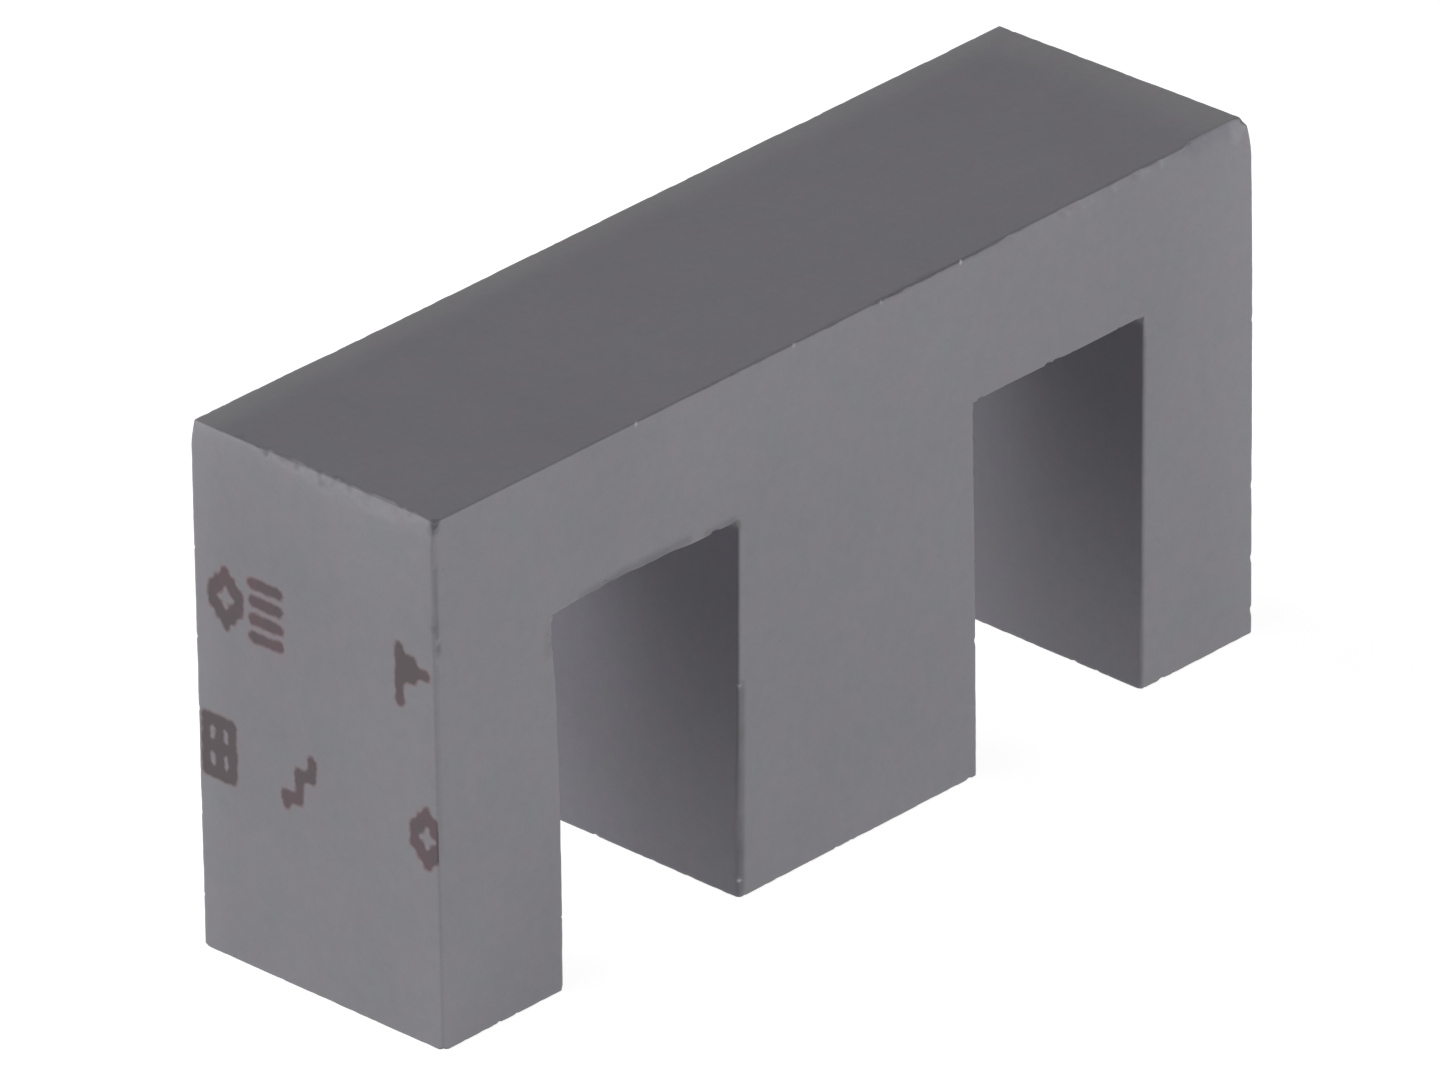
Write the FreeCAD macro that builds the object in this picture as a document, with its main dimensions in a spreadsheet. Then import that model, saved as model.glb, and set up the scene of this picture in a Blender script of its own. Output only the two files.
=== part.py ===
import FreeCAD, Part
import math
import os
import Sketcher
from enum import IntEnum

# One half of a ferrite E core, as it leaves the grinder: a single pressed and sintered block.
# It stands on the ground ends of its three legs, with the flat back on top. X runs along the
# back, Y through the depth of the core and Z up the legs. The origin is in the middle of the
# mating plane, under the centre leg. All sizes are in millimetres.
SIZES = {
    # the block over all: along the back, through its depth, and from mating plane to back
    "overall_length": 32.4,
    "core_depth": 9.0,
    "overall_height": 16.0,
    # the two windows that hold the winding, and what they leave of the legs
    "window_height": 11.5,
    "span_between_outer_legs": 23.2,
    "centre_leg_width": 9.4,
    # the radius that the die leaves where each leg meets the back
    "root_radius": 0.3,
    # the crowned ends: each end face turns over in an arc, and the flat of the back cuts that
    # arc off at a crisp edge, which lies in from the end face by the inset
    "crown_radius": 3.0,
    "crown_inset": 0.33,
    # the rounding that tumbling gives the pressed edges, and not the ground ones
    "edge_round": 0.12,
}

NODE = "e_core"
SAME_PLACE = 1e-4


class Axis(IntEnum):
    """How a sketch numbers its own axes."""

    HORIZONTAL = -1
    VERTICAL = -2


class End(IntEnum):
    """How a sketch numbers the ends of a line or an arc."""

    FIRST = 1
    LAST = 2


def add_sheet(doc):
    """The driving dimensions as a sheet, with one named cell for each."""
    sheet = doc.addObject("Spreadsheet::Sheet", "Sizes")
    for row, (alias, value) in enumerate(SIZES.items(), start=1):
        sheet.set(f"A{row}", alias)
        sheet.set(f"B{row}", str(value))
        sheet.setAlias(f"B{row}", alias)
    doc.recompute()
    return sheet


def profile_sketch(body, name):
    """An empty sketch in the body's own plane of the letter E, X to the right and Z up."""
    sketch = body.newObject("Sketcher::SketchObject", name)
    plane = next(item for item in body.Origin.OriginFeatures if item.Role == "XZ_Plane")
    sketch.AttachmentSupport = [(plane, "")]
    sketch.MapMode = "FlatFace"
    return sketch


def point(x, z):
    return FreeCAD.Vector(x, z, 0)


def fix(sketch, *constraint):
    """A constraint that holds the shape of the outline, whatever its size."""
    plain = [int(value) if isinstance(value, IntEnum) else value for value in constraint]
    return sketch.addConstraint(Sketcher.Constraint(*plain))


def drive(sketch, name, expression, *dimension):
    """A named dimension that the sheet sets."""
    index = fix(sketch, *dimension)
    sketch.renameConstraint(index, name)
    sketch.setExpression(f"Constraints.{name}", expression)


def require_solved(sketch):
    """Stops the build if the sheet doesn't settle every point of the sketch."""
    sketch.Document.recompute()
    if sketch.solve() != 0 or not sketch.FullyConstrained:
        raise RuntimeError(f"{sketch.Name} isn't fully constrained")


def draw_block_outline(sketch, sheet):
    """The closed outer outline: base line, end face, crown, back, crown, end face."""
    half = sheet.overall_length / 2
    top = sheet.overall_height
    radius = sheet.crown_radius
    sweep = math.acos(1 - sheet.crown_inset / radius)
    shoulder = top - radius * math.sin(sweep)
    flat_end = half - sheet.crown_inset

    def circle(side):
        centre = point(side * (half - radius), shoulder)
        return Part.Circle(centre, FreeCAD.Vector(0, 0, 1), radius)

    loop = sketch.addGeometry(
        [
            Part.LineSegment(point(-half, 0), point(half, 0)),
            Part.LineSegment(point(half, 0), point(half, shoulder)),
            Part.ArcOfCircle(circle(1), 0, sweep),
            Part.LineSegment(point(flat_end, top), point(-flat_end, top)),
            Part.ArcOfCircle(circle(-1), math.pi - sweep, math.pi),
            Part.LineSegment(point(-half, shoulder), point(-half, 0)),
        ],
        False,
    )
    base, right_end, right_crown, back, left_crown, left_end = loop

    fix(sketch, "Coincident", base, End.LAST, right_end, End.FIRST)
    fix(sketch, "Tangent", right_end, End.LAST, right_crown, End.FIRST)
    fix(sketch, "Coincident", right_crown, End.LAST, back, End.FIRST)
    fix(sketch, "Coincident", back, End.LAST, left_crown, End.FIRST)
    fix(sketch, "Tangent", left_crown, End.LAST, left_end, End.FIRST)
    fix(sketch, "Coincident", left_end, End.LAST, base, End.FIRST)
    fix(sketch, "PointOnObject", base, End.FIRST, Axis.HORIZONTAL)
    fix(sketch, "Symmetric", base, End.FIRST, base, End.LAST, Axis.VERTICAL)
    fix(sketch, "Symmetric", back, End.FIRST, back, End.LAST, Axis.VERTICAL)
    fix(sketch, "Vertical", right_end)
    fix(sketch, "Vertical", left_end)
    fix(sketch, "Equal", right_crown, left_crown)

    drive(
        sketch, "length", "Sizes.overall_length",
        "DistanceX", base, End.FIRST, base, End.LAST, 2 * half,
    )
    drive(
        sketch, "height", "Sizes.overall_height",
        "DistanceY", base, End.LAST, back, End.FIRST, top,
    )
    drive(sketch, "radius", "Sizes.crown_radius", "Radius", right_crown, radius)
    drive(
        sketch, "inset", "Sizes.crown_inset",
        "DistanceX", right_crown, End.LAST, right_crown, End.FIRST, sheet.crown_inset,
    )
    require_solved(sketch)


def draw_window(sketch, sheet):
    """The right-hand window, open at the mating plane."""
    inner = sheet.centre_leg_width / 2
    outer = sheet.span_between_outer_legs / 2
    ceiling = sheet.window_height
    mouth, outer_side, root, inner_side = sketch.addGeometry(
        [
            Part.LineSegment(point(inner, 0), point(outer, 0)),
            Part.LineSegment(point(outer, 0), point(outer, ceiling)),
            Part.LineSegment(point(outer, ceiling), point(inner, ceiling)),
            Part.LineSegment(point(inner, ceiling), point(inner, 0)),
        ],
        False,
    )
    fix(sketch, "Coincident", mouth, End.LAST, outer_side, End.FIRST)
    fix(sketch, "Coincident", outer_side, End.LAST, root, End.FIRST)
    fix(sketch, "Coincident", root, End.LAST, inner_side, End.FIRST)
    fix(sketch, "Coincident", inner_side, End.LAST, mouth, End.FIRST)
    fix(sketch, "PointOnObject", mouth, End.FIRST, Axis.HORIZONTAL)
    fix(sketch, "Horizontal", mouth)
    fix(sketch, "Horizontal", root)
    fix(sketch, "Vertical", outer_side)
    fix(sketch, "Vertical", inner_side)

    drive(sketch, "inner", "Sizes.centre_leg_width / 2", "DistanceX", mouth, End.FIRST, inner)
    drive(sketch, "outer", "Sizes.span_between_outer_legs / 2", "DistanceX", mouth, End.LAST, outer)
    drive(
        sketch, "depth", "Sizes.window_height",
        "DistanceY", outer_side, End.FIRST, outer_side, End.LAST, ceiling,
    )
    require_solved(sketch)


def press_block(body, sheet):
    """The solid block with its crowned ends, before the windows."""
    outline = profile_sketch(body, "BlockOutline")
    draw_block_outline(outline, sheet)
    block = body.newObject("PartDesign::Pad", "Block")
    block.Profile = outline
    block.SideType = "Symmetric"
    block.setExpression("Length", "Sizes.core_depth")
    body.Document.recompute()
    return block


def cut_windows(body, sheet, block):
    """Both windows, right through the depth: one is drawn, and the other is its mirror."""
    outline = profile_sketch(body, "WindowOutline")
    draw_window(outline, sheet)
    window = body.newObject("PartDesign::Pocket", "RightWindow")
    window.Profile = outline
    window.Type = "ThroughAll"
    window.SideType = "Symmetric"
    body.Document.recompute()

    both = body.newObject("PartDesign::Mirrored", "BothWindows")
    both.Originals = [window]
    both.MirrorPlane = (outline, ["V_Axis"])
    body.Tip = both
    body.Document.recompute()

    span_of_both = sheet.span_between_outer_legs - sheet.centre_leg_width
    cut = span_of_both * sheet.window_height * sheet.core_depth
    if abs(block.Shape.Volume - both.Shape.Volume - cut) > SAME_PLACE * cut:
        raise RuntimeError("the windows aren't cut right through")
    return both


def edge_names(feature, wanted):
    """The feature's own names for the edges whose two ends are as wanted."""
    names = []
    for number, edge in enumerate(feature.Shape.Edges, start=1):
        first, last = (vertex.Point for vertex in edge.Vertexes)
        if wanted(first, last):
            names.append(f"Edge{number}")
    return names


def same(value, other):
    return abs(value - other) < SAME_PLACE


def round_edges(body, name, feature, wanted, radius):
    """A fillet on those edges of the feature, with a radius from the sheet."""
    fillet = body.newObject("PartDesign::Fillet", name)
    fillet.Base = (feature, edge_names(feature, wanted))
    fillet.setExpression("Radius", radius)
    body.Document.recompute()
    return fillet


def round_window_roots(body, sheet, feature):
    """The four inner corners, where the legs' sides turn into the ceilings."""

    def is_root(first, last):
        on_ceiling = same(first.z, sheet.window_height) and same(last.z, sheet.window_height)
        return on_ceiling and same(first.x, last.x)

    return round_edges(body, "WindowRoots", feature, is_root, "Sizes.root_radius")


def round_pressed_edges(body, sheet, feature):
    """The edges round the front and the rear face, but for those at a ground surface."""

    def is_pressed(first, last):
        on_face = same(abs(first.y), sheet.core_depth / 2) and same(first.y, last.y)
        on_legs_ends = same(first.z, 0) and same(last.z, 0)
        on_back = same(first.z, sheet.overall_height) and same(last.z, sheet.overall_height)
        return on_face and not on_legs_ends and not on_back

    return round_edges(body, "PressedEdges", feature, is_pressed, "Sizes.edge_round")


def build_core(doc, sheet):
    body = doc.addObject("PartDesign::Body", "Core")
    body.Label = NODE
    block = press_block(body, sheet)
    windowed = cut_windows(body, sheet, block)
    rooted = round_window_roots(body, sheet, windowed)
    body.Tip = round_pressed_edges(body, sheet, rooted)
    doc.recompute()
    return body


def require_sound(doc, sub_parts):
    """Stops the build if an object has failed or a sub-part has no proper solid."""
    for item in doc.Objects:
        if "Invalid" in item.State or "Error" in item.State:
            raise RuntimeError(f"{item.Name} failed: {item.State}")
    for sub_part in sub_parts:
        shape = sub_part.Shape
        if shape.isNull() or not shape.isValid() or len(shape.Solids) != 1:
            raise RuntimeError(f"{sub_part.Label} isn't one valid solid")


def main():
    doc = FreeCAD.newDocument("FerriteECore")
    sheet = add_sheet(doc)
    core = build_core(doc, sheet)
    require_sound(doc, [core])
    os.makedirs("parts", exist_ok=True)
    core.Shape.exportStep(f"parts/{core.Label}.step")
    print(f"{core.Label}: {core.Shape.Volume:.1f} cubic millimetres")


main()
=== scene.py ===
import math

import bpy
import numpy as np
from bpy.props import FloatProperty, FloatVectorProperty, IntProperty, PointerProperty
from mathutils import Matrix, Vector


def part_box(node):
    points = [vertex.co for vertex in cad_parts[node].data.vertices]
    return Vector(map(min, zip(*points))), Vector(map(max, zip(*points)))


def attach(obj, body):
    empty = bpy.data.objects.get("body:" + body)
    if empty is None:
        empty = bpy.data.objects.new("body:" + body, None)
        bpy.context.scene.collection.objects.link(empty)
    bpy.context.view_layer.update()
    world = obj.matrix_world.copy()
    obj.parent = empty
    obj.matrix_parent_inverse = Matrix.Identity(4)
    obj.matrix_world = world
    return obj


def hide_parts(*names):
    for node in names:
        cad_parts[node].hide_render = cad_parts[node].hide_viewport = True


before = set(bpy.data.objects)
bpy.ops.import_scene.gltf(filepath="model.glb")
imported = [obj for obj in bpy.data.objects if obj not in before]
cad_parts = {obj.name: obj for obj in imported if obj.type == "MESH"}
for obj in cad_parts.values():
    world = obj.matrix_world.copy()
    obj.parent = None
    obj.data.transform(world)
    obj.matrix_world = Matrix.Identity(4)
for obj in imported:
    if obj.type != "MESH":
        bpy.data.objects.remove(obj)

bl_info = {
    "name": "Ferrite E Core",
    "version": (1, 0, 0),
    "blender": (4, 5, 0),
    "location": "3D View > Sidebar > Ferrite Core",
    "description": "Gives a packed ferrite E core its worn edges, fired and ground faces and ink",
    "category": "Object",
}

NODE = "e_core"
BODY = "root"
PIECE = "worn_core"

# The materials of the piece, in the order of its slots, and what each slot covers.
MATERIALS = ("pressed_ferrite", "ground_ferrite", "marked_ferrite")
PRESSED, GROUND, MARKED = range(3)

MM = 1000.0
SAME_PLACE = 1e-6


def found_sizes():
    """The block's own sizes in metres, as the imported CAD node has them."""
    low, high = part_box(NODE)
    places = np.array([vertex.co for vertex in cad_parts[NODE].data.vertices])
    away = np.abs(places)
    on_foot = away[:, 2] < SAME_PLACE
    # The walls are where no rounding reaches: at the points of the foot nearest the middle.
    mid_depth = away[:, 1] < away[on_foot, 1].min() + SAME_PLACE
    centre, outer, half_length = sorted(set(away[on_foot & mid_depth, 0].round(6).tolist()))
    # The ceilings lie between the roots, and well inside the block.
    root, skin = 2.5e-4, 1e-3
    in_window = (away[:, 0] > centre + root) & (away[:, 0] < outer - root)
    inside = in_window & mid_depth & (places[:, 2] > skin) & (places[:, 2] < high.z - skin)
    return {
        "length": 2 * half_length,
        "depth": high.y - low.y,
        "height": high.z,
        "centre_leg": 2 * centre,
        "span": 2 * outer,
        "window": float(places[inside, 2].min()),
    }


FOUND = found_sizes()


# ---------------------------------------------------------------- settings


def setting(kind, **fixed):
    """A maker of settings of one kind, each with its name, description and default."""

    def make(name, description, default):
        return kind(name=name, description=description, default=default, **fixed)

    return make


length = setting(FloatProperty, min=0.0, precision=6, subtype="DISTANCE", unit="LENGTH")
number = setting(FloatProperty, min=0.0)
share = setting(FloatProperty, min=0.0, max=1.0, subtype="FACTOR")
count = setting(IntProperty, min=0)
colour = setting(FloatVectorProperty, min=0.0, max=1.0, subtype="COLOR")
angle = setting(FloatProperty, subtype="ANGLE", unit="ROTATION")
light = setting(FloatProperty, min=0.0, subtype="POWER", unit="POWER")
focal_length = setting(FloatProperty, min=1.0, subtype="DISTANCE_CAMERA")


class CoreBlock(bpy.types.PropertyGroup):
    """The pressed, fired and ground block."""

    overall_length: length("Overall length", "End face to end face", FOUND["length"])
    core_depth: length("Core depth", "Front face to rear face", FOUND["depth"])
    overall_height: length("Overall height", "Mating plane to back", FOUND["height"])
    centre_leg_width: length("Centre leg", "Width of the centre leg", FOUND["centre_leg"])
    leg_span: length("Leg span", "Clear width between the outer legs", FOUND["span"])
    window_height: length("Window height", "Mating plane to window ceiling", FOUND["window"])
    root_radius: length("Root radius", "Where a leg's side turns into a ceiling", 0.0003)
    crown_radius: length("Crown radius", "Arc in which an end face turns over", 0.003)
    left_inset: length("Left inset", "How far the left crisp edge lies in", 0.00014)
    right_inset: length("Right inset", "How far the right crisp edge lies in", 0.00041)
    right_twist: length("Right twist", "How much further in it lies at the rear", 0.00014)


class EdgeWear(bpy.types.PropertyGroup):
    """What pressing, tumbling, grinding and handling did to the edges."""

    pressed_radius: length("Pressed edge", "Rounding of the edges that aren't ground", 0.00005)
    ground_radius: length("Ground edge", "Rounding of the edges that the grinder left", 0.00002)
    unevenness: share("Unevenness", "How much the rounding comes and goes", 0.35)
    crown_crumble: length("Crown crumble", "How deep the left crisp edge crumbles", 0.00006)
    front_crumble: length("Front crumble", "How deep the back's front edge crumbles", 0.00003)
    ground_crumble: length("Ground crumble", "How deep other ground edges crumble", 0.000012)
    pressed_crumble: length("Pressed crumble", "How deep the pressed edges crumble", 0.00001)
    nicks_per_mm: number("Nicks per millimetre", "Small nicks along each edge", 0.35)
    nick_size: length("Nick size", "Radius of a middling nick", 0.00013)
    seed: count("Seed", "Which nicks the edges get", 7)


class FerriteFinish(bpy.types.PropertyGroup):
    """Colours and finish of the ferrite and its ink."""

    pressed_colour: colour("Pressed face", "As-fired ferrite", (0.185, 0.182, 0.198))
    ground_colour: colour("Ground face", "Ferrite the grinder has cut", (0.167, 0.160, 0.183))
    broken_colour: colour("Break", "Fresh ferrite in a nick", (0.165, 0.160, 0.168))
    # The pale edge line is partly dust and partly painted sheen that the edges catch.
    dust_and_sheen_colour: colour("Pale edge line", "Pale dust and painted sheen along an edge", (0.270, 0.264, 0.276))
    ink_colour: colour("Ink", "Dark reddish marking ink", (0.034, 0.018, 0.024))
    ink_thin: colour("Thin ink", "The same ink where it lies thinner", (0.054, 0.020, 0.029))
    ink_bleed: colour("Ink bleed", "Where the ink's solvent has crept", (0.212, 0.166, 0.182))
    dirt_and_shade_colour: colour("Soil", "Dark dirt and painted shade along the edges", (0.045, 0.042, 0.052))
    painted_glint_colour: colour("Glint", "Painted highlights on an edge", (0.560, 0.555, 0.565))
    grain_size: length("Grain size", "Middling size of the sintered grain", 0.00009)


class InkMarks(bpy.types.PropertyGroup):
    """Dot-matrix marks on the left end face."""

    dot_across: length("Dot pitch across", "From one column of dots to the next", 0.00025)
    dot_up: length("Dot pitch up", "From one row of dots to the next", 0.00027)
    upper_line: length("Upper line", "Foot of the upper line above the mating plane", 0.0101)
    lower_line: length("Lower line", "Foot of the lower line above the mating plane", 0.0054)


class PhotoStudio(bpy.types.PropertyGroup):
    """Floor, lamps and camera."""

    camera_azimuth: angle("Azimuth", "Camera's turn from the front", math.radians(-46.09))
    camera_elevation: angle("Elevation", "Camera's height above the floor", math.radians(27.69))
    camera_roll: angle("Roll", "Camera's turn about its own axis", math.radians(-1.02))
    camera_distance: length("Distance", "Camera to the middle of the core", 0.6668)
    lens: focal_length("Lens", "Focal length in millimetres", 611.15)
    rear_softbox: light("Rear softbox", "Lights the left end and windows from behind", 1.12)
    left_softbox: light("Left softbox", "Lights the left end, from low down", 1.15)
    front_softbox: light("Front softbox", "Lights the front, from low down", 1.95)
    room_light: share("Room light", "Even light from all round the room", 0.09)
    table_glow: share("Table glow", "Light that comes up through the pale floor", 0.17)
    floor_colour: colour("Floor", "Pale floor", (0.85, 0.85, 0.85))


GROUPS = {
    "core_block": CoreBlock,
    "edge_wear": EdgeWear,
    "ferrite_finish": FerriteFinish,
    "ink_marks": InkMarks,
    "photo_studio": PhotoStudio,
}


# ---------------------------------------------------------------- the block's nominal form


# In how many straight runs the outline goes round a crown, and how nearly two faces may look
# the same way (the cosine between them) and still meet in an edge.
CROWN_RUNS = 3
STILL_AN_EDGE = 0.8


def outward(first, last):
    """The way out of the block from a run of its outline, which has the block on its left."""
    (x0, z0), (x1, z1) = first, last
    span = math.hypot(x1 - x0, z1 - z0)
    return ((z1 - z0) / span, 0.0, (x0 - x1) / span)


class Block:
    """The block in millimetres: its plain faces, its outline and its edges."""

    def __init__(self, sizes):
        self.half_length = sizes.overall_length * MM / 2
        self.half_depth = sizes.core_depth * MM / 2
        self.height = sizes.overall_height * MM
        self.centre = sizes.centre_leg_width * MM / 2
        self.outer = sizes.leg_span * MM / 2
        self.ceiling = sizes.window_height * MM
        self.root = sizes.root_radius * MM
        self.radius = sizes.crown_radius * MM
        self.left_inset = sizes.left_inset * MM
        self.right_inset = sizes.right_inset * MM
        self.right_twist = sizes.right_twist * MM

    def inset(self, x, y):
        """How far in from its end face the crisp edge lies."""
        right = self.right_inset + self.right_twist * y / self.half_depth
        return np.where(x < 0, self.left_inset, right)

    def shoulder(self, inset):
        """The height at which the end face starts to turn over."""
        return self.height - np.sqrt(self.radius**2 - (self.radius - inset) ** 2)

    def end_at(self, x, y, z):
        """The distance of the end face from the middle, at that height."""
        above = np.maximum(z - self.shoulder(self.inset(x, y)), 0)
        return self.half_length - self.radius + np.sqrt(self.radius**2 - above**2)

    def faces(self, points):
        """How far each point lies outside the ends, the front and rear, the windows and the
        ground faces."""
        x, y, z = points.T
        above = z - self.shoulder(self.inset(x, y))
        beyond = np.abs(x) - (self.half_length - self.radius)
        turned = np.hypot(np.maximum(beyond, 0), above) - self.radius
        ends = np.where(above > 0, turned, np.abs(x) - self.half_length)

        window_middle = (self.outer + self.centre) / 2
        across = np.abs(np.abs(x) - window_middle) - (self.outer - self.centre) / 2 + self.root
        up = z - self.ceiling + self.root
        hole = np.hypot(np.maximum(across, 0), np.maximum(up, 0))
        hole += np.minimum(np.maximum(across, up), 0) - self.root

        front_and_rear = np.abs(y) - self.half_depth
        ground = np.maximum(z - self.height, -z)
        return ends, front_and_rear, -hole, ground

    def outline(self, y):
        """The corners of the letter E in the plane at that depth, in an order that keeps the
        block on the left."""
        halves = []
        for side in (-1, 1):
            shoulder = float(self.shoulder(self.inset(side, y)))
            corners = [
                (self.centre, 0.0), (self.centre, self.ceiling), (self.outer, self.ceiling),
                (self.outer, 0.0), (self.half_length, 0.0),
            ]
            for run in range(CROWN_RUNS + 1):
                z = shoulder + (self.height - shoulder) * run / CROWN_RUNS
                corners.append((float(self.end_at(side, y, z)), z))
            halves.append([(side * x, z) for x, z in corners])
        left, right = halves
        return left[::-1] + right

    def edges(self):
        """Every edge as its two ends and the outward directions of its two faces: those round
        the front and the rear, and then those that run through the depth."""
        found = []
        depths = (-self.half_depth, self.half_depth)
        loops = [self.outline(y) for y in depths]
        for y, loop in zip(depths, loops):
            facing = (0.0, math.copysign(1.0, y), 0.0)
            for (x0, z0), (x1, z1) in zip(loop, loop[1:] + loop[:1]):
                ends = (x0, y, z0), (x1, y, z1)
                found.append((*ends, facing, outward((x0, z0), (x1, z1))))
        front, rear = loops
        for place, ((x0, z0), (x1, z1)) in enumerate(zip(front, rear)):
            before = outward(front[place - 1], front[place])
            after = outward(front[place], front[(place + 1) % len(front)])
            if np.dot(before, after) <= STILL_AN_EDGE:
                found.append(((x0, depths[0], z0), (x1, depths[1], z1), before, after))
        return found

    def hollow(self, edge):
        """Whether an edge is an inner corner, where a leg's side meets a ceiling."""
        (_, y0, z), (_, y1, _) = edge[:2]
        return y0 != y1 and z == self.ceiling


def distance_to_line(points, first, last):
    """The distance of each point from the straight line between two places."""
    along = np.subtract(last, first)
    share_along = np.clip((points - first) @ along / (along @ along), 0, 1)
    return np.linalg.norm(points - first - share_along[:, None] * along, axis=1)


def distance_to_edges(points, edges):
    """The distance of each point from the nearest of those edges."""
    return np.minimum.reduce([distance_to_line(points, *edge[:2]) for edge in edges])


# ---------------------------------------------------------------- the lattice on its surface


# The coarse cells of the surface between the block's feature lines, along X, Y and Z, and the
# steps across a coarse cell, which may be halved until it is one step across.
CELLS_X = (4, 6, 8, 6, 4)
CELLS_Y = (8,)
CELLS_Z = (10, 4)
FINE_STEPS = 16

# How broad a cell may be, in millimetres. In a band round the edges and the big flakes it is one
# step, and further out it grows with the distance from there.
FINE_BAND = 0.12
GROWTH = 0.55
# On the crowns, and from a little below them, no cell is broader than this.
CROWN_CELL, BELOW_CROWN = 0.3, 0.5
# From a cell's middle to its corner, as a share of its breadth, and one step with room for
# rounding.
TO_CORNER = 0.7
ONE_STEP = 1.01

# A lattice point's key is a number with three digits in this base, one for each axis.
KEY_BASE = 4096


def place_lattice(block, steps):
    """Where the lattice's steps lie on the block with its crowned ends, in millimetres."""
    half, outer, centre = block.half_length, block.outer, block.centre
    lines = (
        (CELLS_X, (-half, -outer, -centre, centre, outer, half)),
        (CELLS_Y, (-block.half_depth, block.half_depth)),
        (CELLS_Z, (0, block.ceiling, block.height)),
    )
    x, y, z = (
        np.interp(steps[:, axis], np.cumsum((0, *cells)) * FINE_STEPS, places)
        for axis, (cells, places) in enumerate(lines)
    )
    reach = block.end_at(x, y, z) - outer
    pressed_in = outer + (np.abs(x) - outer) * reach / (half - outer)
    x = np.where(np.abs(x) > outer, np.sign(x) * pressed_in, x)
    return np.stack([x, y, z], axis=1)


def coarse_cells():
    """The coarse cells on the block's surface: axis and side that they face, and corner."""
    filled = np.zeros([sum(cells) + 2 for cells in (CELLS_X, CELLS_Y, CELLS_Z)], dtype=int)
    filled[1:-1, 1:-1, 1:-1] = 1
    leg, window, middle = CELLS_X[:3]
    for start in (leg, leg + window + middle):
        filled[start + 1:start + window + 1, :, :CELLS_Z[0] + 1] = 0
    found = []
    for axis in range(3):
        change = np.diff(filled, axis=axis)
        for side in (1, -1):
            cells = np.argwhere(change == -side)
            # These are numbers of padded cells. The plane after cell i has the number i, and
            # along the other two axes the padding comes off.
            corner = cells - 1
            corner[:, axis] = cells[:, axis]
            found.append((
                np.full(len(cells), axis), np.full(len(cells), side), corner * FINE_STEPS
            ))
    return [np.concatenate(values) for values in zip(*found)]


def cell_frame(axis):
    """The steps across and up a cell that faces along an axis."""
    steps = np.eye(3, dtype=int)
    return steps[(axis + 1) % 3], steps[(axis + 2) % 3]


def refine(block, edges, busy_spots):
    """Halves the coarse cells towards the edges and the big flakes, and returns all cells."""
    axis, side, corner = coarse_cells()
    size = np.full(len(axis), FINE_STEPS)
    step_length = (block.height - block.ceiling) / CELLS_Z[1] / FINE_STEPS
    crown_foot = block.shoulder(block.right_inset) - BELOW_CROWN
    done = []
    while len(axis):
        across, up = cell_frame(axis)
        middles = place_lattice(block, corner + (across + up) * (size[:, None] / 2))
        breadth = size * step_length
        clear = distance_to_edges(middles, edges)
        for spot, radius in busy_spots:
            clear = np.minimum(clear, np.linalg.norm(middles - spot, axis=1) - radius)
        clear = np.maximum(clear - TO_CORNER * breadth, 0)
        allowed = step_length * ONE_STEP + GROWTH * np.maximum(clear - FINE_BAND, 0)
        on_end = (axis == 0) & (np.abs(middles[:, 0]) > (block.outer + block.half_length) / 2)
        on_crown = on_end & (middles[:, 2] > crown_foot)
        allowed = np.where(on_crown, np.minimum(allowed, CROWN_CELL), allowed)
        split = (breadth > allowed) & (size > 1)
        done.append([values[~split] for values in (axis, side, corner, size)])
        axis, side, corner, half = (values[split] for values in (axis, side, corner, size // 2))
        across, up = cell_frame(axis)
        corner = np.concatenate([
            corner + (across * i + up * j) * half[:, None] for i, j in np.ndindex(2, 2)
        ])
        axis, side, size = (np.tile(values, 4) for values in (axis, side, half))
    return [np.concatenate(values) for values in zip(*done)]


def packed_key(steps):
    """One whole number for each lattice point."""
    return (steps[..., 0] * KEY_BASE + steps[..., 1]) * KEY_BASE + steps[..., 2]


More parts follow.
